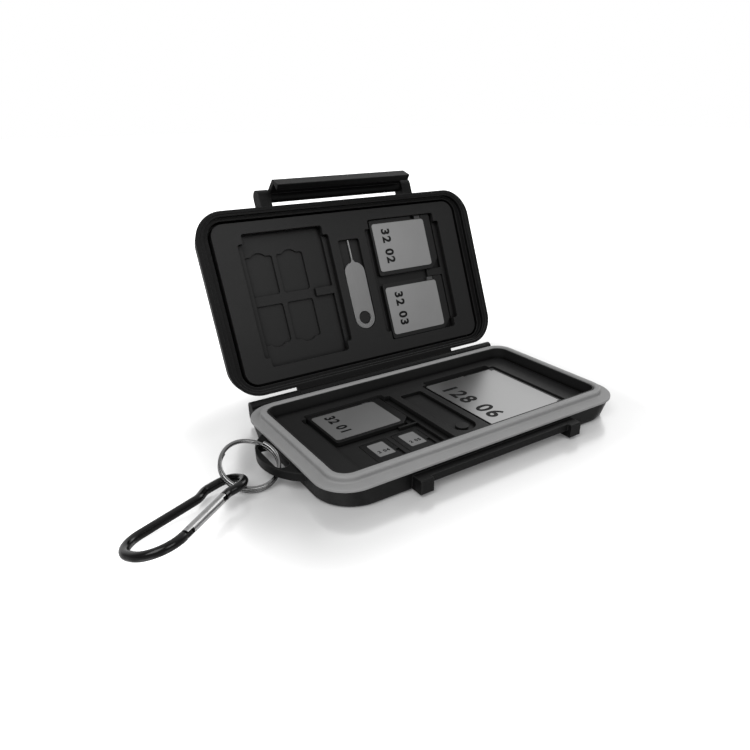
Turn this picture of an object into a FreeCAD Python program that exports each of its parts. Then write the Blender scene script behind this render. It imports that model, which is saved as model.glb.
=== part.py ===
import FreeCAD, Part
import math
import os

# Pocket case for memory cards, standing open with its cards in place.
# Millimetres. X runs along the hinge, Y from the latch to the hinge, Z up.
# The origin is the centre of the underside.
# The lid and all that it carries are drawn shut and then swung open about the hinge.

# How far a cutting shape runs past what it cuts
overrun = 1.0

# Compact flash card, its long side along Y
cf_width = 36.4
cf_length = 42.8
cf_thickness = 3.3
cf_plate_thickness = 0.3
cf_plate_end_margin = 0.9
cf_plate_side_step = 0.7
cf_plate_step_share = 0.55
cf_notch_width = 1.5
cf_notch_length = 1.6
cf_rail_height = 1.0
cf_rail_depth = 0.6
cf_socket_height = 1.3
cf_socket_length = 33.0
cf_socket_depth = 3.0

# Full-size memory card, its contact end towards +X
sd_length = 32.0
sd_width = 24.0
sd_thickness = 2.1
sd_corner_cut = 4.0
sd_corner_radius = 1.0
sd_rail_width = 0.75
sd_rail_height = 0.7
sd_label_back_margin = 0.95
sd_label_front_margin = 3.75
sd_label_side_margin = 1.7
sd_label_radius = 1.2
sd_contact_count = 8
sd_contact_pitch = 2.5
sd_contact_width = 1.7
sd_contact_length = 4.2
sd_contact_inset = 1.0
sd_contact_depth = 0.35
sd_lock_from_end = 7.5
sd_lock_notch_length = 5.6
sd_lock_notch_depth = 1.5
sd_lock_length = 3.0
sd_lock_height = 1.0
sd_lock_gap = 0.1
label_thickness = 0.1

# Micro memory card, its contact end towards -Y
micro_width = 11.0
micro_length = 15.0
micro_thickness = 0.7
micro_corner_radius = 0.6
micro_step_width = 1.3
micro_step_length = 6.4
micro_label_front_margin = 4.35
micro_label_back_margin = 1.55
micro_label_side_margin = 2.25
micro_label_radius = 0.5

# Flat steel ejector tool
tool_length = 37.5
tool_width = 9.4
tool_thickness = 1.0
tool_pin_length = 8.4
tool_pin_width = 0.9
tool_shoulder_length = 5.0
tool_shoulder_shares = [(0.79, 0.51), (0.32, 0.78), (0.15, 0.87)]
tool_hole_radius = 2.75
tool_hole_from_end = 4.6
tool_clearance = 0.3
tool_peg_drop = 0.4

# Room round each card in its well
cf_end_clearance = 1.4
cf_side_clearance = 0.9
sd_end_clearance = 1.3
sd_side_clearance = 0.25
micro_clearance = 0.25
well_radius = 1.0

# Steps of the nested wells, each measured down from the one before
cf_ledge_step = 2.0
sd_floor_step = 1.2
micro_floor_step = 0.7
tray_web = 0.7
cf_seat_margin = 0.3
divider_length = 8.0
base_divider_width = 1.0
lid_divider_width = 3.2
micro_row_offset = 9.65
micro_column_pitch = 13.3
scoop_radius = 4.2
scoop_reach = 1.4
base_tool_gap = 3.3
base_nest_y = -1.6
base_micro_shift = 9.6
lid_tool_gap = 4.0
lid_nest_y = -0.8
lid_micro_shift = 1.9

# Lower shell, with its margins measured from the lid's nests of wells
case_margin_x = 16.35
case_margin_y = 9.7
case_corner = 12.0
rim_height = 7.4
shell_draft = 0.6
shell_wall = 1.6
shell_floor = 1.0
shell_foot_corner = 15.5
shell_bottom_round = 2.0
tray_clearance = 0.15

# Seal: a flange on the rim, a ridge inside it and a rib in the rim's groove
seal_overhang = 0.55
seal_flange = 0.9
seal_ridge_rise = 2.3
seal_inset_x = 6.25
seal_inset_y = 6.9
seal_inner_corner = 5.0
seal_ridge_width_x = 2.5
seal_ridge_width_y = 2.7
seal_ridge_corner = 7.6
seal_ridge_round = 0.9
seal_crease_round = 0.7
seal_edge_round = 0.4
seal_rib_width = 1.2
seal_rib_depth = 1.0
seal_rib_inset = 0.9
seal_rib_clearance = 0.1
upstand_wall = 0.6
upstand_drop = 0.5
upstand_clearance = 0.05

# Lid
lid_gap = 0.15
lid_tray_gap = 0.2
lid_side_inset = 0.15
lid_back_inset = 0.8
lid_roof = 1.2
lid_draft = 1.6
lid_top_round = 2.0
lid_panel_inset = 7.0
lid_panel_corner = 8.0
lid_panel_depth = 0.4
lid_open_angle = 112.0
rim_band_x = 1.7
rim_band_y = 1.2
rim_step = 0.4
rim_wall_x = 3.2
rim_wall_y = 2.1
rim_ledge_x = 2.3
rim_ledge_y = 1.3
lid_groove_x = 1.5
lid_groove_y = 1.0

# Hinge
hinge_offset = 2.3
hinge_radius = 2.0
hinge_end_inset = 4.75
knuckle_gap = 0.4
ear_length = 20.4
ear_web_drop = 0.3
ear_foot = 1.6
ear_round = 1.8
ear_skin = 0.8
hinge_pin_radius = 0.75
hinge_pin_reach = 8.7
hinge_pin_inset = 0.2
pin_clearance = 0.05

# Latch, with its profile measured from its pivot when it is shut
latch_pivot_out = 4.1
latch_pivot_rise = 3.15
latch_half_length = 30.4
latch_side_gap = 0.4
latch_barrel_radius = 2.1
latch_plate_thickness = 1.9
latch_plate_drop = 8.4
latch_lip_drop = 11.2
latch_lip_reach = 2.4
latch_hook_reach = 3.0
latch_hook_drop = 8.5
latch_round = 0.6
latch_ear_width = 4.8
latch_ear_radius = 3.0
latch_ear_skin = 0.8
latch_pin_radius = 0.75
latch_pin_inset = 0.2
latch_rest_angle = 20.0

# Catch on the front of the lower shell
catch_out = 4.2
catch_bar_out = 2.5
catch_top_drop = 1.3
catch_block_height = 5.1
catch_hook_gap = 0.4
catch_chamfer = 0.4

# Lug for the split ring, on the left side
lug_out = 7.4
lug_half_length = 17.5
lug_top_drop = 0.4
lug_thickness = 3.0
lug_slot_gap = 0.3
lug_slot_width = 4.9
lug_slot_length = 18.5

# Split ring, leaning on the ground with its inner side through the lug's slot
ring_radius = 9.35
ring_wire_radius = 0.65
ring_pitch = 1.75
ring_lean = 30.0
ring_ground_gap = 0.07
ring_slot_inset = 1.3
ring_split_angle = 130.0
quarter_turn = math.pi / 2

# Carabiner: corners of its centre line in its own plane, as shares of its size
carabiner_size = 40.0
carabiner_bar_radius = 1.45
carabiner_corner_shares = [
    (-0.125, -0.2525), (-0.4575, -0.3225), (-0.405, 0.2275), (0.315, 0.0875), (0.4375, 0.14),
    (0.655, 0.08), (0.615, -0.215), (0.405, -0.1425), (0.345, -0.155),
]
carabiner_bend_shares = [0.21, 0.21, 0.1, 0.1, 0.125, 0.13, 0.075]
carabiner_to_ring_x = -28.08
carabiner_to_ring_y = -13.87
carabiner_to_ring_z = -2.52
carabiner_turn = 29.46
carabiner_pitch = -0.5
carabiner_roll = -16.0

# Sprung gate of the carabiner: a tube forked at both ends
gate_radius = 1.4
gate_bore_radius = 0.9
gate_bore_depth = 9.0
gate_hinge_end = 1.2
gate_shoulder_gap = 2.1
gate_tongue_thickness = 1.2
gate_tongue_radius = 1.2
gate_slot_clearance = 0.12
gate_nose_gap = 0.3
gate_nose_tongue_length = 1.8
gate_nose_tongue_width = 1.8
gate_rivet_radius = 0.5
gate_rivet_inset = 0.1
gate_plunger_length = 1.6
gate_spring_wall = 0.3
gate_part_clearance = 0.05

# Heights and places that follow from the sizes above
sd_well_half_x = sd_length / 2 + sd_end_clearance
cf_well_half_x = cf_width / 2 + cf_end_clearance
cf_well_half_y = cf_length / 2 + cf_side_clearance
micro_well_half_x = micro_width / 2 + micro_clearance
micro_well_half_y = micro_length / 2 + micro_clearance
base_nest_x = tool_width / 2 + base_tool_gap + cf_well_half_x
lid_nest_x = tool_width / 2 + lid_tool_gap + cf_well_half_x
lid_stack_half = sd_width + 2 * sd_side_clearance + lid_divider_width / 2
case_half_x = lid_nest_x + cf_well_half_x + case_margin_x
case_half_y = lid_stack_half + case_margin_y
knuckle_half_length = case_half_x - hinge_end_inset - ear_length - knuckle_gap
shell_half_x = case_half_x - seal_overhang
shell_half_y = case_half_y - seal_overhang
shell_corner = case_corner - seal_overhang
cavity_half_x = shell_half_x - shell_draft - shell_wall
cavity_half_y = shell_half_y - shell_draft - shell_wall
cavity_corner = shell_foot_corner - shell_wall
nest_depth = cf_ledge_step + sd_floor_step + micro_floor_step
base_face_z = shell_floor + tray_web + nest_depth
flange_z = rim_height + seal_flange
ridge_z = flange_z + seal_ridge_rise
seal_half_x = case_half_x - seal_inset_x
seal_half_y = case_half_y - seal_inset_y
lid_rim_z = flange_z + lid_gap
lid_face_z = ridge_z + lid_tray_gap
lid_roof_z = lid_face_z + nest_depth + tray_web
lid_top_z = lid_roof_z + lid_roof
lid_half_x = case_half_x - lid_side_inset
lid_half_y = case_half_y - lid_back_inset / 2
lid_y = -lid_back_inset / 2
hinge_y = case_half_y + hinge_offset
hinge_z = rim_height
latch_y = -case_half_y - latch_pivot_out
latch_z = lid_rim_z + latch_pivot_rise
latch_ear_start = latch_half_length + latch_side_gap
latch_ear_end = latch_ear_start + latch_ear_width
tool_recess_depth = tool_thickness + tool_clearance


def point(x, y, z):
    return FreeCAD.Vector(x, y, z)


def outline(half_x, half_y, radius, z, x, y):
    # Rectangle with round corners, level at height z
    west, east = x - half_x, x + half_x
    south, north = y - half_y, y + half_y
    slant = radius * (1 - math.sqrt(0.5))
    runs = [
        (point(west + radius, south, z), point(east - radius, south, z)),
        (point(east, south + radius, z), point(east, north - radius, z)),
        (point(east - radius, north, z), point(west + radius, north, z)),
        (point(west, north - radius, z), point(west, south + radius, z)),
    ]
    bends = [
        point(east - slant, south + slant, z), point(east - slant, north - slant, z),
        point(west + slant, north - slant, z), point(west + slant, south + slant, z),
    ]
    edges = []
    for index, (start, end) in enumerate(runs):
        following = runs[(index + 1) % len(runs)][0]
        edges.append(Part.LineSegment(start, end).toShape())
        edges.append(Part.Arc(end, bends[index], following).toShape())
    return Part.Wire(edges)


def plate(half_x, half_y, radius, low, high, x=0, y=0):
    # Upright prism on a rounded rectangle
    face = Part.Face(outline(half_x, half_y, radius, low, x, y))
    return face.extrude(point(0, 0, high - low))


def drafted(half_x, half_y, radius, narrow_radius, draft, wide_z, narrow_z, y=0):
    # Rounded rectangle that draws in by the draft between two heights
    wide = outline(half_x, half_y, radius, wide_z, 0, y)
    narrow = outline(half_x - draft, half_y - draft, narrow_radius, narrow_z, 0, y)
    return Part.makeLoft([wide, narrow], True, True)


def block(x_low, x_high, y_low, y_high, z_low, z_high):
    corner = point(x_low, y_low, z_low)
    return Part.makeBox(x_high - x_low, y_high - y_low, z_high - z_low, corner)


def bar_x(radius, x_low, x_high, y, z):
    # Round bar along X
    return Part.makeCylinder(radius, x_high - x_low, point(x_low, y, z), point(1, 0, 0))


def post(radius, low, high, x, y):
    # Round bar along Z
    return Part.makeCylinder(radius, high - low, point(x, y, low), point(0, 0, 1))


def extruded(points, direction):
    closed = points + [points[0]]
    return Part.Face(Part.makePolygon(closed)).extrude(direction)


def rounded(shape, radius, chosen):
    # Fillets the edges that the test picks
    edges = [edge for edge in shape.Edges if chosen(edge)]
    return shape.makeFillet(radius, edges)


def at_height(z):
    # Picks the edges that lie level at height z
    def chosen(edge):
        box = edge.BoundBox
        return abs(box.ZMin - z) < overrun / 100 and abs(box.ZMax - z) < overrun / 100
    return chosen


def opened(shape):
    # Swings a piece of the lid from shut to open
    turned = shape.copy()
    turned.rotate(point(0, hinge_y, hinge_z), point(1, 0, 0), -lid_open_angle)
    return turned


def sunk(half_x, half_y, depth, x, y, face_z, inward):
    # Cutter for a well that goes into a tray's face, downwards for -1 and upwards for +1
    ends = sorted([face_z - inward * overrun, face_z + inward * depth])
    return plate(half_x, half_y, well_radius, ends[0], ends[1], x, y)


def nest(x, y, face_z, inward, divider, columns):
    # Nested wells: one compact flash card over two full-size cards over rows of micro cards
    sd_depth = cf_ledge_step + sd_floor_step
    stack_half = sd_width + 2 * sd_side_clearance + divider / 2
    cutter = sunk(cf_well_half_x, cf_well_half_y, cf_ledge_step, x, y, face_z, inward)
    sd_well = sunk(sd_well_half_x, stack_half, sd_depth, x, y, face_z, inward)
    tab_ends = sorted([face_z + inward * cf_ledge_step, face_z + inward * (sd_depth + overrun)])
    tab = block(x + sd_well_half_x - divider_length, x + sd_well_half_x + overrun,
                y - divider / 2, y + divider / 2, tab_ends[0], tab_ends[1])
    cutter = cutter.fuse(sd_well.cut(tab))
    ends = sorted([face_z, face_z + inward * nest_depth])
    for column in columns:
        for side in (-1, 1):
            row_y = y + side * micro_row_offset
            well = sunk(micro_well_half_x, micro_well_half_y, nest_depth, x + column, row_y, face_z, inward)
            scoop_y = row_y + side * (micro_well_half_y + scoop_reach - scoop_radius)
            scoop = post(scoop_radius, ends[0], ends[1], x + column, scoop_y)
            cutter = cutter.fuse([well, scoop])
    return cutter


def base_shell():
    body = drafted(shell_half_x, shell_half_y, shell_corner, shell_foot_corner, shell_draft, rim_height, 0)
    body = rounded(body, shell_bottom_round, at_height(0))
    wall_middle_y = cavity_half_y + shell_wall / 2
    wall_middle_x = cavity_half_x + shell_wall / 2
    catch_top = rim_height - catch_top_drop
    bar_bottom = latch_z - latch_hook_drop + catch_hook_gap
    bar = block(-latch_ear_start, latch_ear_start, -case_half_y - catch_bar_out, -wall_middle_y,
                bar_bottom, catch_top)
    fixtures = [bar, ring_lug(wall_middle_x)]
    for side in (-1, 1):
        block_ends = sorted([side * latch_ear_start, side * latch_ear_end])
        fixtures.append(catch_block(block_ends, wall_middle_y, catch_top))
        ear_ends = sorted([side * (knuckle_half_length + knuckle_gap),
                           side * (knuckle_half_length + knuckle_gap + ear_length)])
        fixtures.append(bar_x(hinge_radius, ear_ends[0], ear_ends[1], hinge_y, hinge_z))
        web = block(ear_ends[0], ear_ends[1], wall_middle_y, hinge_y + hinge_radius,
                    ear_foot, rim_height - ear_web_drop)
        fixtures.append(rounded(web, ear_round,
                                lambda edge: on_line(edge, hinge_y + hinge_radius, ear_foot)))
    body = body.fuse(fixtures)
    cavity = plate(cavity_half_x, cavity_half_y, cavity_corner, shell_floor, rim_height + overrun)
    rib_inset = seal_rib_inset - seal_rib_clearance
    groove_width = seal_rib_width + 2 * seal_rib_clearance
    groove = ring_plate(shell_half_x - rib_inset, shell_half_y - rib_inset, shell_corner - rib_inset,
                        groove_width, groove_width, rim_height - seal_rib_depth - seal_rib_clearance,
                        rim_height + overrun)
    ear_far = knuckle_half_length + knuckle_gap + ear_length - ear_skin
    bores = [bar_x(hinge_pin_radius + pin_clearance, side_low, side_high, hinge_y, hinge_z)
             for side_low, side_high in ((-ear_far, -knuckle_half_length), (knuckle_half_length, ear_far))]
    return body.cut([cavity, groove] + bores).removeSplitter()


def catch_block(ends, wall_y, top):
    # Side block of the catch, chamfered along its front edges
    front = -case_half_y - catch_out
    bottom = top - catch_block_height
    profile = [
        point(ends[0], -wall_y, bottom), point(ends[0], front + catch_chamfer, bottom),
        point(ends[0], front, bottom + catch_chamfer), point(ends[0], front, top - catch_chamfer),
        point(ends[0], front + catch_chamfer, top), point(ends[0], -wall_y, top),
    ]
    return extruded(profile, point(ends[1] - ends[0], 0, 0))


def ring_lug(root_x):
    # Bowed lug with a long slot
    low = rim_height - lug_top_drop - lug_thickness
    start = point(-root_x, -lug_half_length, low)
    tip = point(-case_half_x - lug_out, 0, low)
    end = point(-root_x, lug_half_length, low)
    rim = Part.Wire([Part.Arc(start, tip, end).toShape(), Part.LineSegment(end, start).toShape()])
    lug = Part.Face(rim).extrude(point(0, 0, lug_thickness))
    slot_x = -case_half_x - lug_slot_gap - lug_slot_width / 2
    run = lug_slot_length / 2 - lug_slot_width / 2
    slot = block(slot_x - lug_slot_width / 2, slot_x + lug_slot_width / 2, -run, run,
                 low - overrun, low + lug_thickness + overrun)
    for side in (-1, 1):
        slot = slot.fuse(post(lug_slot_width / 2, low - overrun, low + lug_thickness + overrun,
                              slot_x, side * run))
    return lug.cut(slot)


def ring_plate(half_x, half_y, radius, width_x, width_y, low, high, inner_radius=None):
    # Frame between two rounded rectangles
    inner = radius - width_x if inner_radius is None else inner_radius
    outer = plate(half_x, half_y, radius, low, high)
    return outer.cut(plate(half_x - width_x, half_y - width_y, inner, low - overrun, high + overrun))


def base_tray():
    half_x = cavity_half_x - tray_clearance
    half_y = cavity_half_y - tray_clearance
    body = plate(half_x, half_y, cavity_corner - tray_clearance, shell_floor, rim_height)
    upstand_x = seal_half_x - upstand_clearance
    upstand_y = seal_half_y - upstand_clearance
    upstand = plate(upstand_x, upstand_y, seal_inner_corner, rim_height - overrun, ridge_z - upstand_drop)
    well = plate(upstand_x - upstand_wall, upstand_y - upstand_wall, seal_inner_corner - upstand_wall,
                 base_face_z, ridge_z + overrun)
    body = body.fuse(upstand).cut(well)
    left_columns = [base_micro_shift - micro_column_pitch, base_micro_shift]
    left = nest(-base_nest_x, base_nest_y, base_face_z, -1, base_divider_width, left_columns)
    right = nest(base_nest_x, base_nest_y, base_face_z, -1, base_divider_width, [])
    seat = sunk(cf_well_half_x, cf_well_half_y, cf_thickness + cf_seat_margin, base_nest_x, base_nest_y,
                base_face_z, -1)
    recess = tool_recess(base_nest_y, base_face_z, -1)
    body = body.cut([left, right, seat, recess])
    return body.fuse(tool_peg(base_nest_y, base_face_z, -1)).removeSplitter()


def tool_recess(y, face_z, inward):
    # Cutter for the tool's seat, square at its pin end and round at its heel
    half = tool_width / 2 + tool_clearance
    reach = tool_length / 2 + tool_clearance
    ends = sorted([face_z - inward * overrun, face_z + inward * tool_recess_depth])
    heel_y = y + inward * (reach - half)
    run_ends = sorted([heel_y + inward * well_radius, y - inward * reach])
    run_half = (run_ends[1] - run_ends[0]) / 2
    run = plate(half, run_half, well_radius, ends[0], ends[1], 0, run_ends[0] + run_half)
    return run.fuse(post(half, ends[0], ends[1], 0, heel_y))


def tool_peg(y, face_z, inward):
    # Round peg on the floor of the tool's seat, for the hole in the tool
    ends = sorted([face_z + inward * tool_peg_drop, face_z + inward * (tool_recess_depth + tray_web)])
    peg_y = y + inward * (tool_length / 2 - tool_hole_from_end)
    return post(tool_hole_radius - tool_clearance, ends[0], ends[1], 0, peg_y)


def base_gasket():
    flange = ring_plate(case_half_x, case_half_y, case_corner, seal_inset_x, seal_inset_y,
                        rim_height, flange_z, seal_inner_corner)
    ridge = ring_plate(seal_half_x + seal_ridge_width_x, seal_half_y + seal_ridge_width_y,
                       seal_ridge_corner, seal_ridge_width_x, seal_ridge_width_y,
                       flange_z - seal_flange / 2, ridge_z, seal_inner_corner)
    body = flange.fuse(ridge).removeSplitter()
    outer_reach = seal_half_x + seal_ridge_width_x + overrun
    top_edge = at_height(flange_z)
    body = rounded(body, seal_crease_round,
                   lambda edge: top_edge(edge) and not beyond(edge, outer_reach))
    body = rounded(body, seal_ridge_round, at_height(ridge_z))
    body = rounded(body, seal_edge_round,
                   lambda edge: top_edge(edge) and beyond(edge, outer_reach))
    rib = ring_plate(shell_half_x - seal_rib_inset, shell_half_y - seal_rib_inset,
                     shell_corner - seal_rib_inset, seal_rib_width, seal_rib_width,
                     rim_height - seal_rib_depth, rim_height + seal_flange / 2)
    return body.fuse(rib).removeSplitter()


def beyond(edge, reach):
    # True for an edge of the outermost outline, judged by the corner that its middle comes nearest
    middle = edge.valueAt((edge.FirstParameter + edge.LastParameter) / 2)
    shortfall_x = case_half_x - abs(middle.x)
    shortfall_y = case_half_y - abs(middle.y)
    margin = case_half_x - reach
    corner_shortfall = case_corner * (1 - math.sqrt(0.5))
    on_corner = max(abs(shortfall_x - corner_shortfall), abs(shortfall_y - corner_shortfall)) < margin / 2
    return min(shortfall_x, shortfall_y) < margin / 2 or on_corner


def hinge_pin(side):
    outer = knuckle_half_length + knuckle_gap + ear_length - ear_skin - hinge_pin_inset
    ends = sorted([side * outer, side * (knuckle_half_length - hinge_pin_reach)])
    return bar_x(hinge_pin_radius, ends[0], ends[1], hinge_y, hinge_z)


def lid_shell():
    body = drafted(lid_half_x, lid_half_y, case_corner, case_corner - lid_draft, lid_draft,
                   lid_rim_z, lid_top_z, lid_y)
    body = rounded(body, lid_top_round, at_height(lid_top_z))
    knuckle = bar_x(hinge_radius, -knuckle_half_length, knuckle_half_length, hinge_y, hinge_z)
    web = block(-knuckle_half_length, knuckle_half_length, lid_y + lid_half_y - rim_wall_y / 2, hinge_y,
                lid_rim_z, hinge_z + hinge_radius)
    fixtures = [knuckle, web]
    for side in (-1, 1):
        ends = sorted([side * latch_ear_start, side * latch_ear_end])
        fixtures.append(latch_ear(ends))
    body = body.fuse(fixtures)
    low = lid_rim_z - overrun
    inset_x, inset_y = rim_wall_x, rim_wall_y
    band = plate(lid_half_x - rim_band_x, lid_half_y - rim_band_y, case_corner - rim_band_x,
                 low, lid_rim_z + rim_step, 0, lid_y)
    ledge = plate(lid_half_x - inset_x, lid_half_y - inset_y, case_corner - inset_x,
                  low, lid_face_z, 0, lid_y)
    inset_x, inset_y = inset_x + rim_ledge_x, inset_y + rim_ledge_y
    well = plate(lid_half_x - inset_x, lid_half_y - inset_y, case_corner - inset_x,
                 low, lid_roof_z, 0, lid_y)
    panel = plate(lid_half_x - lid_panel_inset, lid_half_y - lid_panel_inset, lid_panel_corner,
                  lid_top_z - lid_panel_depth, lid_top_z + overrun, 0, lid_y)
    bore_radius = hinge_pin_radius + pin_clearance
    depth = hinge_pin_reach + pin_clearance
    latch_bore_end = latch_ear_end - latch_ear_skin
    bores = [
        bar_x(bore_radius, -knuckle_half_length - overrun, -knuckle_half_length + depth, hinge_y, hinge_z),
        bar_x(bore_radius, knuckle_half_length - depth, knuckle_half_length + overrun, hinge_y, hinge_z),
        bar_x(latch_pin_radius + pin_clearance, -latch_bore_end, latch_bore_end, latch_y, latch_z),
    ]
    return body.cut([band, ledge, well, panel] + bores).removeSplitter()


def latch_ear(ends):
    # Ear that carries the latch pin, round at its tip and blended to the lid's front wall
    wall_y = lid_y - lid_half_y + rim_band_y
    tip = bar_x(latch_ear_radius, ends[0], ends[1], latch_y, latch_z)
    arm = block(ends[0], ends[1], latch_y, wall_y, latch_z - latch_ear_radius, latch_z + latch_ear_radius)
    return tip.fuse(arm)


def lid_tray():
    inset_x = rim_wall_x + rim_ledge_x + lid_groove_x
    inset_y = rim_wall_y + rim_ledge_y + lid_groove_y
    body = plate(lid_half_x - inset_x, lid_half_y - inset_y, case_corner - inset_x,
                 lid_face_z, lid_roof_z, 0, lid_y)
    columns = [lid_micro_shift - micro_column_pitch, lid_micro_shift]
    left = nest(-lid_nest_x, lid_nest_y, lid_face_z, 1, lid_divider_width, columns)
    right = nest(lid_nest_x, lid_nest_y, lid_face_z, 1, lid_divider_width, [])
    recess = tool_recess(lid_nest_y, lid_face_z, 1)
    body = body.cut([left, right, recess])
    return body.fuse(tool_peg(lid_nest_y, lid_face_z, 1)).removeSplitter()


def latch():
    # Hooked plate that hangs from a barrel, drawn shut and then swung out to where it rests
    radius = latch_barrel_radius
    inner = radius - latch_plate_thickness
    meeting = -math.sqrt(radius ** 2 - inner ** 2)
    corners = [
        (inner, meeting), (inner, -latch_hook_drop), (-latch_hook_reach, -latch_hook_drop),
        (-latch_lip_reach, -latch_lip_drop), (radius, -latch_plate_drop), (radius, 0),
    ]
    points = [point(-latch_half_length, latch_y - out, latch_z + up) for out, up in corners]
    back = point(-latch_half_length, latch_y + radius * math.sqrt(0.5), latch_z + radius * math.sqrt(0.5))
    edges = [Part.LineSegment(start, end).toShape() for start, end in zip(points, points[1:])]
    edges.append(Part.Arc(points[-1], back, points[0]).toShape())
    shape = Part.Face(Part.Wire(edges)).extrude(point(2 * latch_half_length, 0, 0))
    bend_y = latch_y - radius
    bend_z = latch_z - latch_plate_drop
    shape = rounded(shape, latch_round, lambda edge: on_line(edge, bend_y, bend_z))
    bore_end = latch_half_length + overrun
    bore = bar_x(latch_pin_radius + pin_clearance, -bore_end, bore_end, latch_y, latch_z)
    shape = shape.cut(bore)
    shape.rotate(point(0, latch_y, latch_z), point(1, 0, 0), -latch_rest_angle)
    return shape


def on_line(edge, y, z):
    # True for an edge that runs along X at the given place
    box = edge.BoundBox
    reach = max(abs(box.YMin - y), abs(box.YMax - y), abs(box.ZMin - z), abs(box.ZMax - z))
    return reach < overrun / 100


def latch_pin():
    end = latch_ear_end - latch_ear_skin - latch_pin_inset
    return bar_x(latch_pin_radius, -end, end, latch_y, latch_z)


def ring_frame():
    # Centre and axes of the leaning ring: one axis towards the case, one up the slope
    lean = math.radians(ring_lean)
    towards = point(1, 0, 0)
    upslope = point(0, math.cos(lean), math.sin(lean))
    low_reach = ring_radius * math.sin(lean) + ring_wire_radius + ring_pitch / 2 * math.cos(lean)
    centre_x = -case_half_x - lug_slot_gap - ring_slot_inset - ring_radius
    centre = point(centre_x, 0, ring_ground_gap + low_reach)
    return centre, towards, upslope


def ring_point(angle, lift):
    centre, towards, upslope = ring_frame()
    axis = towards.cross(upslope)
    radial = towards * math.cos(angle) + upslope * math.sin(angle)
    return centre + radial * ring_radius + axis * lift


def ring_tangent(angle):
    centre, towards, upslope = ring_frame()
    return upslope * math.cos(angle) - towards * math.sin(angle)


def arc_from(start, tangent, end):
    # Circular arc that leaves start along the tangent and ends at end
    chord = end - start
    slope = tangent.getAngle(chord)
    across = tangent * chord.Length - chord * math.cos(slope)
    rise = chord.Length / 2 * math.tan(slope / 2)
    middle = (start + end) * 0.5 + across.normalize() * rise
    return Part.Arc(start, middle, end).toShape()


def biarc(start, start_tangent, end, end_tangent):
    # Two arcs that join two points smoothly along their tangents
    span = end - start
    total = start_tangent + end_tangent
    spread = 2 * (1 - start_tangent.dot(end_tangent))
    root = math.sqrt(span.dot(total) ** 2 + spread * span.dot(span))
    reach = (root - span.dot(total)) / spread
    joint = (start + start_tangent * reach + end - end_tangent * reach) * 0.5
    joint_tangent = (joint - start - start_tangent * reach).normalize()
    return [arc_from(start, start_tangent, joint), arc_from(joint, joint_tangent, end)]


def split_ring():
    # Two flat turns of wire joined by one rising quarter turn
    first = math.radians(ring_split_angle)
    lifts = [-1, -1, -1, -1, 1, 1, 1, 1]
    edges = []
    for index in range(len(lifts) - 1):
        angles = [first + index * quarter_turn, first + (index + 1) * quarter_turn]
        ends = [ring_point(angles[step], lifts[index + step] * ring_pitch / 2) for step in (0, 1)]
        edges += biarc(ends[0], ring_tangent(angles[0]), ends[1], ring_tangent(angles[1]))
    path = Part.Wire(edges)
    wire = Part.Circle(path.Vertexes[0].Point, ring_tangent(first), ring_wire_radius)
    section = Part.Wire([wire.toShape()])
    print("split ring least gap", round(least_gap(path), 3))
    return path.makePipeShell([section], True, False)


def least_gap(path):
    # Least distance between the wire and itself, skipping the half turn on each side of a point
    count = 240
    points = path.discretize(count)
    skip = int(count * math.pi * ring_radius / path.Length)
    gaps = [points[i].distanceToPoint(points[j]) for i in range(count) for j in range(i + skip, count)]
    return min(gaps) - 2 * ring_wire_radius


def carabiner_corners():
    return [point(along * carabiner_size, across * carabiner_size, 0)
            for along, across in carabiner_corner_shares]


def gate_direction():
    corners = carabiner_corners()
    return (corners[-1] - corners[0]).normalize()


def carabiner_placed(shape):
    # Turns a piece from the carabiner's own plane to where it lies beside the case
    centre = ring_frame()[0]
    place = centre + point(carabiner_to_ring_x, carabiner_to_ring_y, carabiner_to_ring_z)
    turn = FreeCAD.Rotation(carabiner_turn, carabiner_pitch, carabiner_roll)
    placed = shape.copy()
    placed.Placement = FreeCAD.Placement(place, turn).multiply(placed.Placement)
    return placed


def along_gate(shape, start):
    # Turns a piece drawn along X from the origin so that it lies along the gate from start
    angle = math.degrees(math.atan2(gate_direction().y, gate_direction().x))
    placed = shape.copy()
    placed.Placement = FreeCAD.Placement(start, FreeCAD.Rotation(angle, 0, 0))
    return placed


def carabiner_path():
    # Straight runs joined by tangent arcs, from the gate's hinge round to the nose
    corners = carabiner_corners()
    bends = [share * carabiner_size for share in carabiner_bend_shares]
    start = corners[0] + (corners[1] - corners[0]).normalize() * gate_shoulder_gap
    edges = []
    for index, bend in enumerate(bends):
        corner = corners[index + 1]
        back = (corners[index] - corner).normalize()
        ahead = (corners[index + 2] - corner).normalize()
        half = back.getAngle(ahead) / 2
        reach = bend / math.tan(half)
        inward = (back + ahead).normalize()
        entry = corner + back * reach
        middle = corner + inward * (bend / math.sin(half) - bend)
        leave = corner + ahead * reach
        edges.append(Part.LineSegment(start, entry).toShape())
        edges.append(Part.Arc(entry, middle, leave).toShape())
        start = leave
    edges.append(Part.LineSegment(start, corners[-1]).toShape())
    return Part.Wire(edges)


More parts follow.
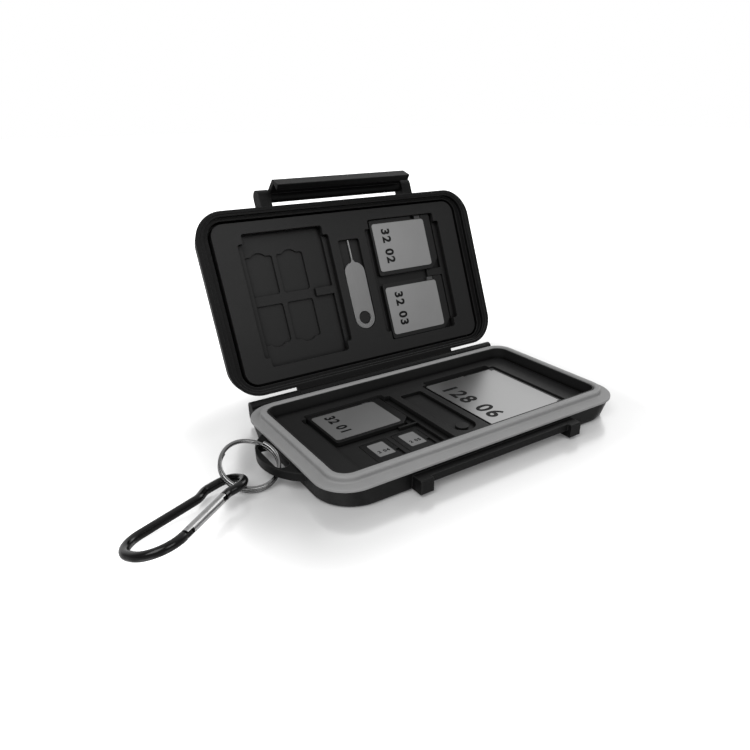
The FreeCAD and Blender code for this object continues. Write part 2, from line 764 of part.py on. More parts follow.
def carabiner_body():
    path = carabiner_path()
    first = path.Edges[0]
    start = first.valueAt(first.FirstParameter)
    rim = Part.Circle(start, first.tangentAt(first.FirstParameter), carabiner_bar_radius)
    section = Part.Wire([rim.toShape()])
    bar = path.makePipeShell([section], True, False)
    corners = carabiner_corners()
    half = gate_tongue_thickness / 2
    hinge_tongue = block(-gate_shoulder_gap - overrun, 0, -gate_tongue_radius, gate_tongue_radius,
                         -half, half)
    hinge_tongue = hinge_tongue.fuse(post(gate_tongue_radius, -half, half, 0, 0))
    nose_half = gate_nose_tongue_width / 2
    nose_tongue = block(-gate_nose_tongue_length, overrun, -nose_half, nose_half, -half, half)
    hole = post(gate_rivet_radius + pin_clearance, -gate_radius, gate_radius, 0, 0)
    tongues = [along_gate(hinge_tongue, corners[0]), along_gate(nose_tongue, corners[-1])]
    body = bar.fuse(tongues).cut(along_gate(hole, corners[0])).removeSplitter()
    return carabiner_placed(body)


def gate_length():
    corners = carabiner_corners()
    return (corners[-1] - corners[0]).Length


def carabiner_gate():
    far = gate_length() - gate_nose_gap
    slot_half = gate_tongue_thickness / 2 + gate_slot_clearance
    tube = bar_x(gate_radius, -gate_hinge_end, far, 0, 0)
    bore = bar_x(gate_bore_radius, -gate_hinge_end - overrun, gate_bore_depth, 0, 0)
    hinge_slot = block(-gate_hinge_end - overrun, gate_tongue_radius + gate_slot_clearance,
                       -gate_radius - overrun, gate_radius + overrun, -slot_half, slot_half)
    nose_slot = block(gate_length() - gate_nose_tongue_length - gate_nose_gap, far + overrun,
                      -gate_radius - overrun, gate_radius + overrun, -slot_half, slot_half)
    hole = post(gate_rivet_radius + gate_part_clearance, -gate_radius, gate_radius, 0, 0)
    gate = tube.cut([bore, hinge_slot, nose_slot, hole]).removeSplitter()
    return carabiner_placed(along_gate(gate, carabiner_corners()[0]))


def gate_rivet():
    reach = gate_radius - gate_rivet_inset
    rivet = post(gate_rivet_radius, -reach, reach, 0, 0)
    return carabiner_placed(along_gate(rivet, carabiner_corners()[0]))


def plunger_start():
    return gate_tongue_radius + gate_slot_clearance


def gate_plunger():
    radius = gate_bore_radius - gate_part_clearance
    plunger = bar_x(radius, plunger_start(), plunger_start() + gate_plunger_length, 0, 0)
    return carabiner_placed(along_gate(plunger, carabiner_corners()[0]))


def gate_spring():
    # Return spring of the gate, wholly hidden in the tube, as a plain sleeve between plunger and bore end
    radius = gate_bore_radius - gate_part_clearance
    start = plunger_start() + gate_plunger_length
    sleeve = bar_x(radius, start, gate_bore_depth, 0, 0)
    core = bar_x(radius - gate_spring_wall, start - overrun, gate_bore_depth + overrun, 0, 0)
    return carabiner_placed(along_gate(sleeve.cut(core), carabiner_corners()[0]))


def sd_outline(low, high):
    # Full-size card seen from above: round corners and one corner cut at the contact end
    body = plate(sd_length / 2, sd_width / 2, sd_corner_radius, low, high)
    tip = point(sd_length / 2 + overrun, -sd_width / 2 - overrun, low - overrun)
    leg = sd_corner_cut + 2 * overrun
    height = high - low + 2 * overrun
    cut = extruded([tip, tip + point(-leg, 0, 0), tip + point(0, leg, 0)], point(0, 0, height))
    return body.cut(cut)


def lock_notch(length, depth, low, high):
    middle = sd_length / 2 - sd_lock_from_end
    edge = sd_width / 2
    return block(middle - length / 2, middle + length / 2, edge - depth, edge + overrun, low, high)


def sd_body():
    card = sd_outline(0, sd_thickness)
    cuts = []
    for side in (-1, 1):
        rail = sorted([side * (sd_width / 2 - sd_rail_width), side * (sd_width / 2 + overrun)])
        cuts.append(block(-sd_length / 2 - overrun, sd_length / 2 + overrun, rail[0], rail[1],
                          -overrun, sd_rail_height))
    first = -(sd_contact_count - 1) / 2 * sd_contact_pitch
    end = sd_length / 2 - sd_contact_inset
    for index in range(sd_contact_count):
        middle = first + index * sd_contact_pitch + sd_contact_width / 2
        cuts.append(block(end - sd_contact_length, end, middle - sd_contact_width / 2,
                          middle + sd_contact_width / 2, -overrun, sd_contact_depth))
    cuts.append(lock_notch(sd_lock_notch_length, sd_lock_notch_depth, sd_rail_height,
                           sd_thickness + overrun))
    return card.cut(cuts).removeSplitter()


def sd_label():
    half_x = (sd_length - sd_label_back_margin - sd_label_front_margin) / 2
    half_y = sd_width / 2 - sd_label_side_margin
    shift = (sd_label_back_margin - sd_label_front_margin) / 2
    return plate(half_x, half_y, sd_label_radius, sd_thickness, sd_thickness + label_thickness, shift, 0)


def sd_lock():
    middle = sd_length / 2 - sd_lock_from_end + (sd_lock_notch_length - sd_lock_length) / 2 - sd_lock_gap
    edge = sd_width / 2
    return block(middle - sd_lock_length / 2, middle + sd_lock_length / 2,
                 edge - sd_lock_notch_depth + sd_lock_gap, edge, sd_rail_height + sd_lock_gap / 10,
                 sd_rail_height + sd_lock_height)


def micro_body():
    card = plate(micro_width / 2, micro_length / 2, micro_corner_radius, 0, micro_thickness)
    step = block(micro_width / 2 - micro_step_width, micro_width / 2 + overrun,
                 -micro_length / 2 - overrun, -micro_length / 2 + micro_step_length,
                 -overrun, micro_thickness + overrun)
    return card.cut(step).removeSplitter()


def micro_label():
    half_x = micro_width / 2 - micro_label_side_margin
    half_y = (micro_length - micro_label_front_margin - micro_label_back_margin) / 2
    shift = (micro_label_front_margin - micro_label_back_margin) / 2
    return plate(half_x, half_y, micro_label_radius, micro_thickness, micro_thickness + label_thickness,
                 0, shift)


def cf_plate(low, high):
    # Metal cover that reaches one end of the card, steps in half way and is notched at the other end
    half_x = cf_width / 2
    half_y = cf_length / 2
    far = half_x - cf_plate_end_margin
    step = -half_x + cf_plate_step_share * cf_width
    narrow_y = half_y - cf_plate_side_step
    cover = plate(half_x, half_y, well_radius, low, high)
    cuts = [block(far, half_x + overrun, -half_y - overrun, half_y + overrun,
                  low - overrun, high + overrun)]
    for side in (-1, 1):
        strip = sorted([side * narrow_y, side * (half_y + overrun)])
        notch = sorted([side * (narrow_y - cf_notch_length), side * (half_y + overrun)])
        cuts.append(block(step, far + overrun, strip[0], strip[1], low - overrun, high + overrun))
        cuts.append(block(far - cf_notch_width, far + overrun, notch[0], notch[1],
                          low - overrun, high + overrun))
    return cover.cut(cuts)


def cf_frame():
    half_x = cf_width / 2
    half_y = cf_length / 2
    frame = plate(half_x, half_y, well_radius, 0, cf_thickness)
    middle = cf_thickness / 2
    cuts = [cf_plate(cf_thickness - cf_plate_thickness, cf_thickness + overrun),
            cf_plate(-overrun, cf_plate_thickness)]
    for side in (-1, 1):
        rail = sorted([side * (half_y - cf_rail_depth), side * (half_y + overrun)])
        cuts.append(block(-half_x - overrun, half_x + overrun, rail[0], rail[1],
                          middle - cf_rail_height / 2, middle + cf_rail_height / 2))
    cuts.append(block(half_x - cf_socket_depth, half_x + overrun,
                      -cf_socket_length / 2, cf_socket_length / 2,
                      middle - cf_socket_height / 2, middle + cf_socket_height / 2))
    return frame.cut(cuts).removeSplitter()


def ejector_tool():
    # Flat blade with a round end, a hole and a thin pin
    half = tool_width / 2
    end = -tool_length / 2
    shoulder = tool_length / 2 - tool_pin_length
    pin_half = tool_pin_width / 2
    root = shoulder - tool_shoulder_length
    curve = [(across * half, root + along * tool_shoulder_length) for across, along in tool_shoulder_shares]
    run = [(half, end + half), (half, root)] + curve + [(pin_half, shoulder)]
    right = [point(x, y, 0) for x, y in run]
    edges = [
        Part.LineSegment(right[0], right[1]).toShape(),
        Part.Arc(right[1], right[2], right[3]).toShape(),
        Part.Arc(right[3], right[4], right[5]).toShape(),
    ]
    edges += [edge.mirror(point(0, 0, 0), point(1, 0, 0)) for edge in edges]
    edges.append(Part.LineSegment(right[-1], point(-pin_half, shoulder, 0)).toShape())
    edges.append(Part.Arc(point(-half, end + half, 0), point(0, end, 0), right[0]).toShape())
    rim = Part.Wire(Part.sortEdges(edges)[0])
    blade = Part.Face(rim).extrude(point(0, 0, tool_thickness))
    pin = Part.makeCylinder(pin_half, tool_pin_length + tool_shoulder_length,
                            point(0, shoulder - tool_shoulder_length, tool_thickness / 2), point(0, 1, 0))
    hole = post(tool_hole_radius, -overrun, tool_thickness + overrun, 0, end + tool_hole_from_end)
    return blade.fuse(pin).cut(hole).removeSplitter()


def in_base(shape, x, y, z):
    placed = shape.copy()
    placed.translate(point(x, y, z))
    return placed


def in_lid(shape, x, y, floor_z):
    # Turns a card to face down from the lid's well floor, then opens it with the lid
    placed = shape.copy()
    placed.rotate(point(0, 0, 0), point(1, 0, 0), 180)
    placed.translate(point(x, y, floor_z))
    return opened(placed)


nodes = {
    "base_shell": base_shell(),
    "base_tray": base_tray(),
    "base_gasket": base_gasket(),
    "hinge_pin_left": hinge_pin(-1),
    "hinge_pin_right": hinge_pin(1),
    "lid_shell": opened(lid_shell()),
    "lid_tray": opened(lid_tray()),
    "latch": opened(latch()),
    "latch_pin": opened(latch_pin()),
    "split_ring": split_ring(),
    "carabiner_body": carabiner_body(),
    "carabiner_gate": carabiner_gate(),
    "gate_rivet": gate_rivet(),
    "gate_plunger": gate_plunger(),
    "gate_spring": gate_spring(),
}

# Full-size cards: one in the base's left nest, two in the lid's right nest
sd_pieces = {"body": sd_body(), "label": sd_label(), "lock": sd_lock()}
base_sd_y = base_nest_y + (sd_width + base_divider_width) / 2 + sd_side_clearance
base_sd_z = base_face_z - cf_ledge_step - sd_floor_step
lid_sd_offset = (sd_width + lid_divider_width) / 2 + sd_side_clearance
lid_sd_z = lid_face_z + cf_ledge_step + sd_floor_step
for piece, shape in sd_pieces.items():
    nodes["base_sd_" + piece] = in_base(shape, -base_nest_x, base_sd_y, base_sd_z)
    nodes["lid_upper_sd_" + piece] = in_lid(shape, lid_nest_x, lid_nest_y - lid_sd_offset, lid_sd_z)
    nodes["lid_lower_sd_" + piece] = in_lid(shape, lid_nest_x, lid_nest_y + lid_sd_offset, lid_sd_z)

# Micro cards in the front row of the base's left nest
micro_pieces = {"body": micro_body(), "label": micro_label()}
micro_z = base_face_z - nest_depth
for name, column in (("left", base_micro_shift - micro_column_pitch), ("right", base_micro_shift)):
    for piece, shape in micro_pieces.items():
        nodes[f"{name}_micro_{piece}"] = in_base(shape, column - base_nest_x,
                                                base_nest_y - micro_row_offset, micro_z)

# Compact flash card in the base's right nest, and the tool in the lid
cf_z = base_face_z - cf_thickness - cf_seat_margin
nodes["cf_frame"] = in_base(cf_frame(), base_nest_x, base_nest_y, cf_z)
nodes["cf_top_plate"] = in_base(cf_plate(cf_thickness - cf_plate_thickness, cf_thickness),
                                base_nest_x, base_nest_y, cf_z)
nodes["cf_bottom_plate"] = in_base(cf_plate(0, cf_plate_thickness), base_nest_x, base_nest_y, cf_z)
tool_seat_z = lid_face_z + tool_recess_depth
nodes["ejector_tool"] = in_lid(ejector_tool(), 0, lid_nest_y, tool_seat_z)

os.makedirs("parts", exist_ok=True)
for name, shape in nodes.items():
    shape.exportStep(os.path.join("parts", name + ".step"))
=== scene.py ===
import bpy
import math
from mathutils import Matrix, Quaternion, Vector


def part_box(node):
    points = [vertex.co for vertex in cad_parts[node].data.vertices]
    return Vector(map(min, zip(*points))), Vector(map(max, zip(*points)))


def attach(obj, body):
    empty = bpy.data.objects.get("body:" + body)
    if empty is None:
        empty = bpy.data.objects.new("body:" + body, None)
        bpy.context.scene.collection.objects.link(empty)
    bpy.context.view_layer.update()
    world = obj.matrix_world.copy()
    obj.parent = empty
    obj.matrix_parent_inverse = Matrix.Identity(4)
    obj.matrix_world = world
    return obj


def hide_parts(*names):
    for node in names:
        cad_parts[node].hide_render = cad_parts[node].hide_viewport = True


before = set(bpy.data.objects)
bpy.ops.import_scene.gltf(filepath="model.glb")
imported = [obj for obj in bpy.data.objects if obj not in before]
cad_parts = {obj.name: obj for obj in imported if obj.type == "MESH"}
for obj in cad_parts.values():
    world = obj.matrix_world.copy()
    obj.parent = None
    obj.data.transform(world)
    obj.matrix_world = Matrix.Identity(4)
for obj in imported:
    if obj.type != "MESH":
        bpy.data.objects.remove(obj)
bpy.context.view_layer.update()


# Lower shell: the bottom half of a pocket case, injection moulded in black ABS.
# The mould is spark eroded, so the walls are matt with a fine even grain. The edges are a little
# greyer, partly from wear where hands rub and partly from a painted highlight along each edge.
MM = 0.001
# Sockets of a Mix node that mixes two colours
SHARE, FIRST, SECOND, MIXED = 0, 6, 7, 2
# A noise pattern stays mostly between these values
NOISE_RANGE = {"From Min": 0.3, "From Max": 0.7}


def linear(code):
    # Linear colour of an sRGB hex value
    parts = [int(code[i:i + 2], 16) / 255 for i in (1, 3, 5)]
    return [v / 12.92 if v <= 0.04045 else ((v + 0.055) / 1.055) ** 2.4 for v in parts] + [1.0]


def add_node(tree, kind, settings=None, inputs=None):
    # New node with its settings, and each input a value or the socket that feeds it
    made = tree.nodes.new(kind)
    for name, value in (settings or {}).items():
        setattr(made, name, value)
    for name, value in (inputs or {}).items():
        if isinstance(value, bpy.types.NodeSocket):
            tree.links.new(value, made.inputs[name])
        else:
            made.inputs[name].default_value = value
    return made


def new_material(name, sockets):
    # Node material with the constants of its surface shader, and the spot that its patterns read
    material = bpy.data.materials.new(name)
    material.use_nodes = True
    tree = material.node_tree
    surface = tree.nodes["Principled BSDF"]
    for socket, value in sockets.items():
        surface.inputs[socket].default_value = value
    spot = add_node(tree, "ShaderNodeTexCoord").outputs["Object"]
    return material, tree, surface, spot


def give_finish(material, names):
    # Puts the material on CAD nodes
    for name in names:
        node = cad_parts[name]
        node.data.materials.clear()
        node.data.materials.append(material)


# Spark-eroded ABS: deep black with a low sheen and an even grain, under faint clouds of colour.
abs_plastic, tree, surface, spot = new_material("spark_textured_abs", {"Specular IOR Level": 0.13})
grain_size = 0.45 * MM  # near 0.1 mm on a real shell, drawn coarser so that it shows
grain_depth = 0.02 * MM
cloud_size = 22 * MM
edge_radius = 0.5 * MM
grain = add_node(tree, "ShaderNodeTexNoise", None,
                 {"Vector": spot, "Scale": 1 / grain_size, "Detail": 3.0, "Roughness": 0.6})
cloud = add_node(tree, "ShaderNodeTexNoise", None,
                 {"Vector": spot, "Scale": 1 / cloud_size, "Detail": 2.0})
round_edge = add_node(tree, "ShaderNodeBevel", {"samples": 6}, {"Radius": edge_radius})
flat_side = add_node(tree, "ShaderNodeNewGeometry")
lean = add_node(tree, "ShaderNodeVectorMath", {"operation": "DOT_PRODUCT"},
                {0: round_edge.outputs["Normal"], 1: flat_side.outputs["Normal"]})
# Edge mask from the rounded normal: partly wear where hands rub, and partly a painted highlight on every
# edge, inside edges too
wear_and_edge_highlight = add_node(tree, "ShaderNodeMapRange", None,
                  {"Value": lean.outputs["Value"], "From Min": 1.0, "From Max": 0.8, "To Max": 1.0})
tone = add_node(tree, "ShaderNodeMix", {"data_type": "RGBA"},
                {SHARE: cloud.outputs["Fac"], FIRST: linear("#080808"), SECOND: linear("#0d0d0d")})
# Edges go lighter grey, from rubbed wear and from the painted edge highlight
colour = add_node(tree, "ShaderNodeMix", {"data_type": "RGBA"},
                  {SHARE: wear_and_edge_highlight.outputs["Result"], FIRST: tone.outputs[MIXED],
                   SECOND: linear("#2c2c2c")})
matt = add_node(tree, "ShaderNodeMapRange", None,
                {"Value": grain.outputs["Fac"], **NOISE_RANGE, "To Min": 0.42, "To Max": 0.56})
relief = add_node(tree, "ShaderNodeBump", None,
                  {"Strength": 0.25, "Distance": grain_depth, "Height": grain.outputs["Fac"],
                   "Normal": round_edge.outputs["Normal"]})
tree.links.new(colour.outputs[MIXED], surface.inputs["Base Color"])
tree.links.new(matt.outputs["Result"], surface.inputs["Roughness"])
tree.links.new(relief.outputs["Normal"], surface.inputs["Normal"])
give_finish(abs_plastic, ["base_shell"])


# Card trays of both halves: thin ABS insets with stepped wells, set into the shells.
# Their faces are satin from a finer mould, dark grey rather than black. Painted shade darkens the
# inside corners of the wells.
tray_plastic, tree, surface, spot = new_material("satin_abs", {"Specular IOR Level": 0.14})
grain_size = 0.35 * MM  # near 0.05 mm on a real tray, drawn coarser so that it shows
grain_depth = 0.01 * MM
cloud_size = 30 * MM
edge_radius = 0.2 * MM
corner_reach = 2.2 * MM
grain = add_node(tree, "ShaderNodeTexNoise", None,
                 {"Vector": spot, "Scale": 1 / grain_size, "Detail": 2.0, "Roughness": 0.5})
cloud = add_node(tree, "ShaderNodeTexNoise", None,
                 {"Vector": spot, "Scale": 1 / cloud_size, "Detail": 2.0})
round_edge = add_node(tree, "ShaderNodeBevel", {"samples": 6}, {"Radius": edge_radius})
tone = add_node(tree, "ShaderNodeMix", {"data_type": "RGBA"},
                {SHARE: cloud.outputs["Fac"], FIRST: linear("#1e1e1e"), SECOND: linear("#242424")})
# Painted shade: an occlusion mask finds the inside corners and the foot of the walls in the wells
corner = add_node(tree, "ShaderNodeAmbientOcclusion", {"samples": 8, "only_local": True},
                  {"Distance": corner_reach})
painted_corner_shade = add_node(tree, "ShaderNodeMapRange", None,
                    {"Value": corner.outputs["AO"], "From Min": 0.45, "From Max": 0.95,
                     "To Min": 1.0, "To Max": 0.0})
# The occluded corners are painted towards near black as shade
colour = add_node(tree, "ShaderNodeMix", {"data_type": "RGBA"},
                  {SHARE: painted_corner_shade.outputs["Result"], FIRST: tone.outputs[MIXED],
                   SECOND: linear("#060606")})
matt = add_node(tree, "ShaderNodeMapRange", None,
                {"Value": grain.outputs["Fac"], **NOISE_RANGE, "To Min": 0.36, "To Max": 0.46})
relief = add_node(tree, "ShaderNodeBump", None,
                  {"Strength": 0.15, "Distance": grain_depth, "Height": grain.outputs["Fac"],
                   "Normal": round_edge.outputs["Normal"]})
tree.links.new(colour.outputs[MIXED], surface.inputs["Base Color"])
tree.links.new(matt.outputs["Result"], surface.inputs["Roughness"])
tree.links.new(relief.outputs["Normal"], surface.inputs["Normal"])
give_finish(tray_plastic, ["base_tray", "lid_tray"])


# Seal: one grey ring of soft thermoplastic elastomer, pushed by its rib into the shell's rim.
# Its skin is dull and powdery, with faint flow clouds.
elastomer, tree, surface, spot = new_material("grey_elastomer", {"Specular IOR Level": 0.25})
cloud_size = 9 * MM
powder_size = 0.3 * MM  # real bloom is far finer, drawn coarser so that it shows
powder_depth = 0.01 * MM
cloud = add_node(tree, "ShaderNodeTexNoise", None,
                 {"Vector": spot, "Scale": 1 / cloud_size, "Detail": 4.0, "Roughness": 0.55})
powder = add_node(tree, "ShaderNodeTexNoise", None,
                  {"Vector": spot, "Scale": 1 / powder_size, "Detail": 2.0})
tone = add_node(tree, "ShaderNodeMix", {"data_type": "RGBA"},
                {SHARE: cloud.outputs["Fac"], FIRST: linear("#848484"), SECOND: linear("#909090")})
matt = add_node(tree, "ShaderNodeMapRange", None,
                {"Value": powder.outputs["Fac"], **NOISE_RANGE, "To Min": 0.5, "To Max": 0.64})
relief = add_node(tree, "ShaderNodeBump", None,
                  {"Strength": 0.12, "Distance": powder_depth, "Height": powder.outputs["Fac"]})
tree.links.new(tone.outputs[MIXED], surface.inputs["Base Color"])
tree.links.new(matt.outputs["Result"], surface.inputs["Roughness"])
tree.links.new(relief.outputs["Normal"], surface.inputs["Normal"])
give_finish(elastomer, ["base_gasket"])


# Hinge pins, latch pin and the gate's plunger and spring: drawn steel wire, cut to length
# and pushed in. Drawing leaves fine lines along the pins.
drawn_steel, tree, surface, spot = new_material("drawn_steel", {"Metallic": 1.0})
line_width = 0.15 * MM  # real draw lines are finer, drawn coarser so that they show
line_stretch = (0.05, 1.0, 1.0)
along = add_node(tree, "ShaderNodeMapping", None, {"Vector": spot, "Scale": line_stretch})
lines = add_node(tree, "ShaderNodeTexNoise", None,
                 {"Vector": along.outputs["Vector"], "Scale": 1 / line_width, "Detail": 2.0})
tone = add_node(tree, "ShaderNodeMix", {"data_type": "RGBA"},
                {SHARE: lines.outputs["Fac"], FIRST: linear("#7d7d7b"), SECOND: linear("#a2a2a0")})
sheen = add_node(tree, "ShaderNodeMapRange", None,
                 {"Value": lines.outputs["Fac"], **NOISE_RANGE, "To Min": 0.25, "To Max": 0.4})
tree.links.new(tone.outputs[MIXED], surface.inputs["Base Color"])
tree.links.new(sheen.outputs["Result"], surface.inputs["Roughness"])
give_finish(drawn_steel, ["hinge_pin_left", "hinge_pin_right", "latch_pin",
                          "gate_plunger", "gate_spring"])


# Lid and its latch: the same black ABS as the lower shell. The latch is one hooked strip that
# turns on a steel pin between two ears of the lid.
give_finish(abs_plastic, ["lid_shell", "latch"])


# Split ring: hard steel wire of a flattened section, wound one and three quarter turns and nickel
# plated. The second turn climbs over the first in a short jog, and the ends are cut square.
ring_low, ring_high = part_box("split_ring")
ring_centre_height = 6.153 * MM
ring_middle = Vector(((ring_low.x + ring_high.x) / 2, 0, ring_centre_height))
ring_radius = 9.35 * MM
wire_half_width = 0.64 * MM
wire_half_height = 0.69 * MM
wire_squareness = 0.45
turn_gap = 0.05 * MM
ring_lean = math.radians(30)
first_angle = math.radians(130)
wound_angle = math.radians(630)
jog_start = math.radians(268)
jog_end = math.radians(352)
sharp_angle = math.radians(50)
wound_steps = 210
section_points = 20
bpy.ops.object.select_all(action="DESELECT")
bpy.ops.mesh.primitive_circle_add(vertices=section_points, radius=1.0, fill_type="NOTHING",
                                  rotation=(math.pi / 2, 0, 0))
ring = bpy.context.object
ring.name = "wound_split_ring"
bpy.ops.object.transform_apply(location=True, rotation=True, scale=True)
for vertex in ring.data.vertices:
    across, up = vertex.co.x, vertex.co.z
    swell = max(abs(across), abs(up)) ** -wire_squareness
    vertex.co = (ring_radius + across * swell * wire_half_width, 0, up * swell * wire_half_height)
winding = ring.modifiers.new("winding", "SCREW")
winding.angle = wound_angle
winding.steps = wound_steps
winding.render_steps = wound_steps
winding.use_merge_vertices = False
bpy.ops.object.modifier_apply(modifier="winding")
half_rise = wire_half_height + turn_gap / 2
section_count = len(ring.data.vertices) // section_points
for index, vertex in enumerate(ring.data.vertices):
    angle = wound_angle * (index // section_points) / (section_count - 1)
    share = min(1.0, max(0.0, (angle - jog_start) / (jog_end - jog_start)))
    climb = share * share * (3 - 2 * share)
    vertex.co.z += half_rise * (2 * climb - 1)
bpy.ops.object.mode_set(mode="EDIT")
bpy.ops.mesh.select_all(action="DESELECT")
bpy.ops.mesh.select_mode(type="EDGE")
bpy.ops.mesh.select_non_manifold()
bpy.ops.mesh.fill()
bpy.ops.mesh.select_all(action="SELECT")
bpy.ops.mesh.normals_make_consistent(inside=False)
bpy.ops.object.mode_set(mode="OBJECT")
bpy.ops.object.shade_smooth_by_angle(angle=sharp_angle)
ring.rotation_euler = (0, 0, first_angle)
bpy.ops.object.transform_apply(location=True, rotation=True, scale=True)
ring.rotation_euler = (ring_lean, 0, 0)
ring.location = ring_middle
bpy.ops.object.transform_apply(location=True, rotation=True, scale=True)

# Nickel plate: a mid grey mirror with soft smears. Fine scratches from keys and cloth make its
# sheen uneven.
nickel, tree, surface, spot = new_material("nickel_plate", {"Metallic": 1.0})
scratch_spacing = 0.2 * MM  # real scratches lie closer, drawn coarser so that they show
smear_size = 4 * MM
scratch = add_node(tree, "ShaderNodeTexNoise", None,
                   {"Vector": spot, "Scale": 1 / scratch_spacing, "Detail": 3.0, "Distortion": 2.0})
smear = add_node(tree, "ShaderNodeTexNoise", None,
                 {"Vector": spot, "Scale": 1 / smear_size, "Detail": 2.0})
tone = add_node(tree, "ShaderNodeMix", {"data_type": "RGBA"},
                {SHARE: smear.outputs["Fac"], FIRST: linear("#6c6c6c"), SECOND: linear("#808080")})
sheen = add_node(tree, "ShaderNodeMapRange", None,
                 {"Value": scratch.outputs["Fac"], **NOISE_RANGE, "To Min": 0.12, "To Max": 0.24})
tree.links.new(tone.outputs[MIXED], surface.inputs["Base Color"])
tree.links.new(sheen.outputs["Result"], surface.inputs["Roughness"])
ring.data.materials.append(nickel)
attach(ring, "ring")
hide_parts("split_ring")


# Carabiner: round aluminium bar, bent to a pear shape and black anodised.
# The oxide is glossy and smooth, and only faint smears and specks break its black.
black_anodised, tree, surface, spot = new_material("black_anodised_aluminium", {"Specular IOR Level": 0.25})
smear_size = 6 * MM
speck_size = 0.4 * MM  # the oxide's own pores are far finer, drawn coarser so that they show
smear = add_node(tree, "ShaderNodeTexNoise", None,
                 {"Vector": spot, "Scale": 1 / smear_size, "Detail": 3.0})
speck = add_node(tree, "ShaderNodeTexNoise", None,
                 {"Vector": spot, "Scale": 1 / speck_size, "Detail": 2.0})
tone = add_node(tree, "ShaderNodeMix", {"data_type": "RGBA"},
                {SHARE: smear.outputs["Fac"], FIRST: linear("#070707"), SECOND: linear("#0c0c0c")})
sheen = add_node(tree, "ShaderNodeMapRange", None,
                 {"Value": speck.outputs["Fac"], **NOISE_RANGE, "To Min": 0.14, "To Max": 0.2})
tree.links.new(tone.outputs[MIXED], surface.inputs["Base Color"])
tree.links.new(sheen.outputs["Result"], surface.inputs["Roughness"])
give_finish(black_anodised, ["carabiner_body"])


# Gate of the carabiner and its rivet: bare aluminium tube, turned and slotted at both ends.
# It is left in the grey of the metal, with lines along its length.
bare_aluminium, tree, surface, spot = new_material("bare_aluminium", {"Metallic": 1.0, "Anisotropic": 0.4})
gate_heading = math.radians(40.9)
line_width = 0.18 * MM  # real lines are finer, drawn coarser so that they show
line_stretch = (16.0, 1.0, 1.0)
along = add_node(tree, "ShaderNodeMapping", {"vector_type": "TEXTURE"},
                 {"Vector": spot, "Rotation": (0, 0, gate_heading), "Scale": line_stretch})
lines = add_node(tree, "ShaderNodeTexNoise", None,
                 {"Vector": along.outputs["Vector"], "Scale": 1 / line_width, "Detail": 2.0})
tone = add_node(tree, "ShaderNodeMix", {"data_type": "RGBA"},
                {SHARE: lines.outputs["Fac"], FIRST: linear("#8a8a8a"), SECOND: linear("#9e9e9e")})
sheen = add_node(tree, "ShaderNodeMapRange", None,
                 {"Value": lines.outputs["Fac"], **NOISE_RANGE, "To Min": 0.28, "To Max": 0.4})
tree.links.new(tone.outputs[MIXED], surface.inputs["Base Color"])
tree.links.new(sheen.outputs["Result"], surface.inputs["Roughness"])
give_finish(bare_aluminium, ["carabiner_gate", "gate_rivet"])


# Memory card bodies, each welded from two thin halves, and the frame of the largest card: black
# PBT. A polished mould leaves them smooth, with a soft gloss and slightly rounded edges.
card_plastic, tree, surface, spot = new_material("black_pbt", {"Specular IOR Level": 0.3})
speck_size = 0.3 * MM  # a polished mould's marks are finer, drawn coarser so that they show
cloud_size = 8 * MM
edge_radius = 0.15 * MM
speck = add_node(tree, "ShaderNodeTexNoise", None,
                 {"Vector": spot, "Scale": 1 / speck_size, "Detail": 2.0})
cloud = add_node(tree, "ShaderNodeTexNoise", None,
                 {"Vector": spot, "Scale": 1 / cloud_size, "Detail": 2.0})
round_edge = add_node(tree, "ShaderNodeBevel", {"samples": 6}, {"Radius": edge_radius})
tone = add_node(tree, "ShaderNodeMix", {"data_type": "RGBA"},
                {SHARE: cloud.outputs["Fac"], FIRST: linear("#0f0f0f"), SECOND: linear("#161616")})
sheen = add_node(tree, "ShaderNodeMapRange", None,
                 {"Value": speck.outputs["Fac"], **NOISE_RANGE, "To Min": 0.3, "To Max": 0.4})
tree.links.new(tone.outputs[MIXED], surface.inputs["Base Color"])
tree.links.new(sheen.outputs["Result"], surface.inputs["Roughness"])
tree.links.new(round_edge.outputs["Normal"], surface.inputs["Normal"])
give_finish(card_plastic, ["base_sd_body", "lid_upper_sd_body", "lid_lower_sd_body",
                           "left_micro_body", "right_micro_body", "cf_frame"])


# Write-protect sliders: small dark grey nylon blocks that snap into a notch in the card's edge.
# Fine ribs across their travel give a fingernail its grip.
nylon, tree, surface, spot = new_material("grey_nylon", {"Specular IOR Level": 0.35, "Roughness": 0.45})
rib_spacing = 0.5 * MM
rib_depth = 0.1 * MM
wave_radians = 20  # phase of Blender's wave pattern over one unit at a scale of 1
ribs = add_node(tree, "ShaderNodeTexWave", {"bands_direction": "X", "wave_profile": "TRI"},
                {"Vector": spot, "Scale": 2 * math.pi / (wave_radians * rib_spacing)})
tone = add_node(tree, "ShaderNodeMix", {"data_type": "RGBA"},
                {SHARE: ribs.outputs["Fac"], FIRST: linear("#333333"), SECOND: linear("#4a4a4a")})
relief = add_node(tree, "ShaderNodeBump", None,
                  {"Strength": 0.6, "Distance": rib_depth, "Height": ribs.outputs["Fac"]})
tree.links.new(tone.outputs[MIXED], surface.inputs["Base Color"])
tree.links.new(relief.outputs["Normal"], surface.inputs["Normal"])
give_finish(nylon, ["base_sd_lock", "lid_upper_sd_lock", "lid_lower_sd_lock"])


